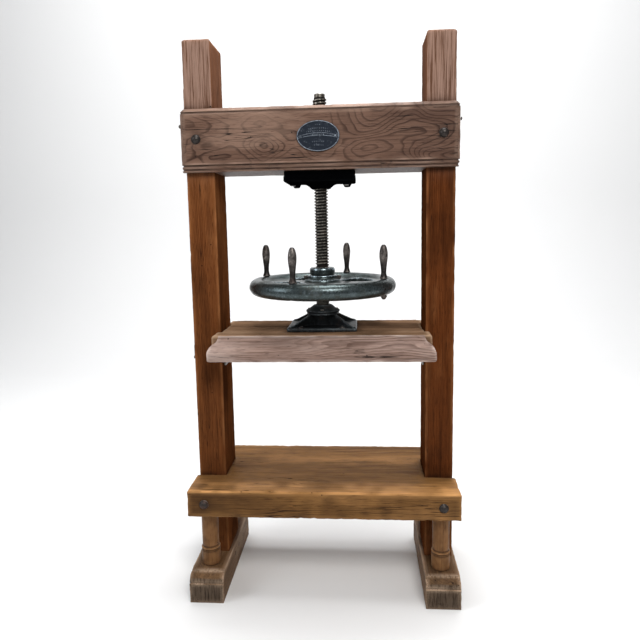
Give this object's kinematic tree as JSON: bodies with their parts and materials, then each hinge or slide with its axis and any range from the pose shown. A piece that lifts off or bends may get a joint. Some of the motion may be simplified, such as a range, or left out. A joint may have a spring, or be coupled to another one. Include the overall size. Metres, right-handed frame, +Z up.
{
  "type": "standing screw press",
  "caption": "Free-standing wooden screw press: two posts on sledge feet, bed board, head beam with iron nut, handwheel screw and a guided moving platen",
  "frame": {"origin": "on the floor under the axis of the screw, at the centre of the footprint", "axes": "+Z up along the screw, +X to the right of someone facing the front, the front faces -Y"},
  "size_m": [0.91, 0.504, 1.85],
  "materials": {
    "post_oak": "old oiled oak, red-brown, upright grain",
    "foot_oak": "old oak, honey coloured on top, grey weathered end grain",
    "peg_oak": "dark oak draw pegs",
    "column_oak": "turned oak, waxed",
    "bed_oak": "worn oak board, honey brown",
    "beam_elm": "swirling elm grain, purplish brown, waxed",
    "platen_oak": "bleached, greyed oak",
    "bolt_iron": "blackened forged iron",
    "black_iron": "black painted cast iron",
    "plaque_iron": "dark cast iron with rubbed raised rim",
    "wheel_iron": "grey-green cast iron, hand polished",
    "handle_iron": "brown iron, hand polished",
    "screw_steel": "dull oiled steel",
    "washer_bronze": "bronze"
  },
  "bodies": {
    "frame": {"left_foot": "foot_oak", "left_post": "post_oak", "left_foot_pegs": "peg_oak", "front_left_column": "column_oak", "rear_left_column": "column_oak", "right_foot": "foot_oak", "right_post": "post_oak", "right_foot_pegs": "peg_oak", "front_right_column": "column_oak", "rear_right_column": "column_oak", "bed_board": "bed_oak", "head_beam": "beam_elm", "head_bolts": "bolt_iron", "head_washers": "bolt_iron", "head_nuts": "bolt_iron", "bed_bolts": "bolt_iron", "bed_washers": "bolt_iron", "bed_nuts": "bolt_iron", "nut_plate": "black_iron", "coach_screws": "bolt_iron", "oval_plaque": "plaque_iron", "plaque_nails": "bolt_iron", "beam_end_nails": "bolt_iron", "post_side_plate": "black_iron", "side_plate_screws": "bolt_iron"},
    "platen": {"platen_board": "platen_oak", "front_moulding": "platen_oak", "rear_moulding": "platen_oak", "right_guide_iron": "black_iron", "left_guide_iron": "black_iron", "guide_screws": "bolt_iron", "pressure_foot": "black_iron", "foot_screws": "bolt_iron", "thrust_washer": "washer_bronze", "retaining_cap": "black_iron", "cap_screws": "bolt_iron"},
    "screw": {"main_screw": "screw_steel", "handwheel": "wheel_iron", "wheel_key": "screw_steel", "hub_bolts": "bolt_iron", "lock_collar": "wheel_iron", "lock_pin": "screw_steel", "handle_right": "handle_iron", "handle_rear": "handle_iron", "handle_left": "handle_iron", "handle_front": "handle_iron", "handle_nut": "bolt_iron", "thrust_collar": "screw_steel", "thrust_pin": "screw_steel"}
  },
  "joints": [
    {"name": "platen_slide", "type": "slide", "parent": "frame", "child": "platen", "axis": [0, 0, 1], "range_m": [-0.2002, 0.2302]},
    {"name": "screw_turn", "type": "hinge", "parent": "platen", "child": "screw", "pos_m": [0, 0, 1], "axis": [0, 0, 1], "range_deg": [-7200, 8280]}
  ],
  "couplings": [
    {"joint": "platen_slide", "follows": "screw_turn", "m_per_rad": 0.0015915}
  ]
}
